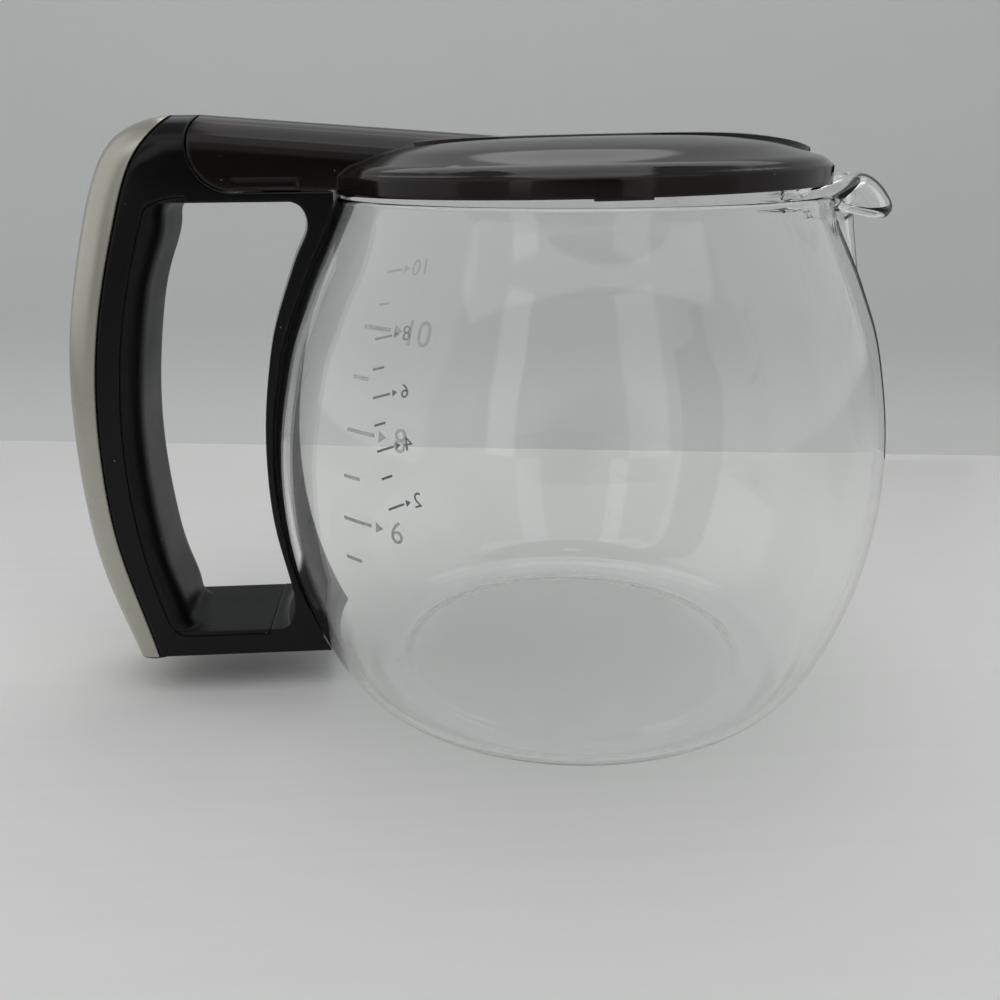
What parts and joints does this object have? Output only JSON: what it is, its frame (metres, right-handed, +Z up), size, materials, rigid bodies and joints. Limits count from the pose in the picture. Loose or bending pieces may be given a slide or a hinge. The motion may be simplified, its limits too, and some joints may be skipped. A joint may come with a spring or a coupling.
{
  "type": "drip coffee maker carafe",
  "caption": "Round glass coffee jug with a turned-over pouring lip, a loop handle with a silver back, and a dark domed lid hinged on the handle's top.",
  "frame": {"origin": "middle of the flat base, where the jug stands", "axes": "+Z up along the axis of the glass, +X towards the pouring spout, -X towards the handle; the XZ plane is the plane of symmetry"},
  "size_m": [0.1893, 0.144, 0.1339],
  "materials": {
    "glass": "clear borosilicate",
    "handle_black": "moulded gloss",
    "liner_black": "satin moulded",
    "trim_silver": "champagne-silver satin paint",
    "silicone": "cured adhesive",
    "steel": "drawn wire",
    "lid_brown": "moulded gloss",
    "tray_dark": "moulded"
  },
  "bodies": {
    "jug": {"glass_jug": "glass", "handle_frame": "handle_black", "handle_liner": "liner_black", "grip_trim": "trim_silver", "bond_strip": "silicone", "hinge_pin": "steel"},
    "lid": {"lid_cover": "lid_brown", "lid_tray": "tray_dark"}
  },
  "joints": [
    {"name": "lid_hinge", "type": "hinge", "parent": "jug", "child": "lid", "pos_m": [-0.075, 0, 0.128], "axis": [0, -1, 0], "range_deg": [0, 90]}
  ]
}
